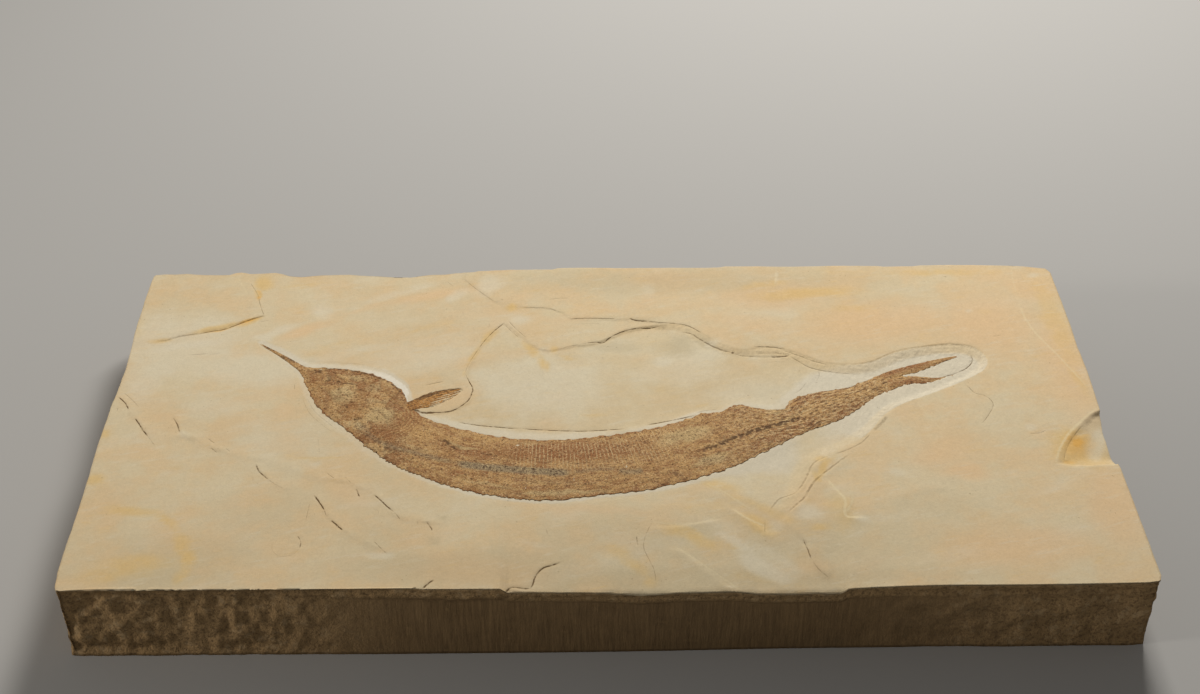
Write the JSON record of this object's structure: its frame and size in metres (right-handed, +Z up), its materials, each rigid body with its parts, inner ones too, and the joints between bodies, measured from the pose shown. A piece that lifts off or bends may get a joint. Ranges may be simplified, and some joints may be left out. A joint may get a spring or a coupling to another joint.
{
  "type": "fossil fish slab",
  "caption": "Thick squared slab of pale bedded limestone lying flat, with a long curved needle-nosed fossil fish in low relief in a hollow worked into its face.",
  "frame": {"origin": "middle of the footprint, on the flat underside of the slab", "axes": "+X along the slab from the fish's beak towards its tail, +Y from the front side to the back side, +Z up out of the face that holds the fish"},
  "size_m": [0.8034, 0.415, 0.0673],
  "materials": {
    "limestone": "matt cream to buff bedding face with ochre stains, chalky white where it is freshly worked, rough broken sides",
    "fossil_bone": "satin golden to dark brown bone and scale with grey speckled bands"
  },
  "bodies": {
    "root": {"limestone_slab": "limestone", "fossil_fish": "fossil_bone"}
  },
  "joints": []
}
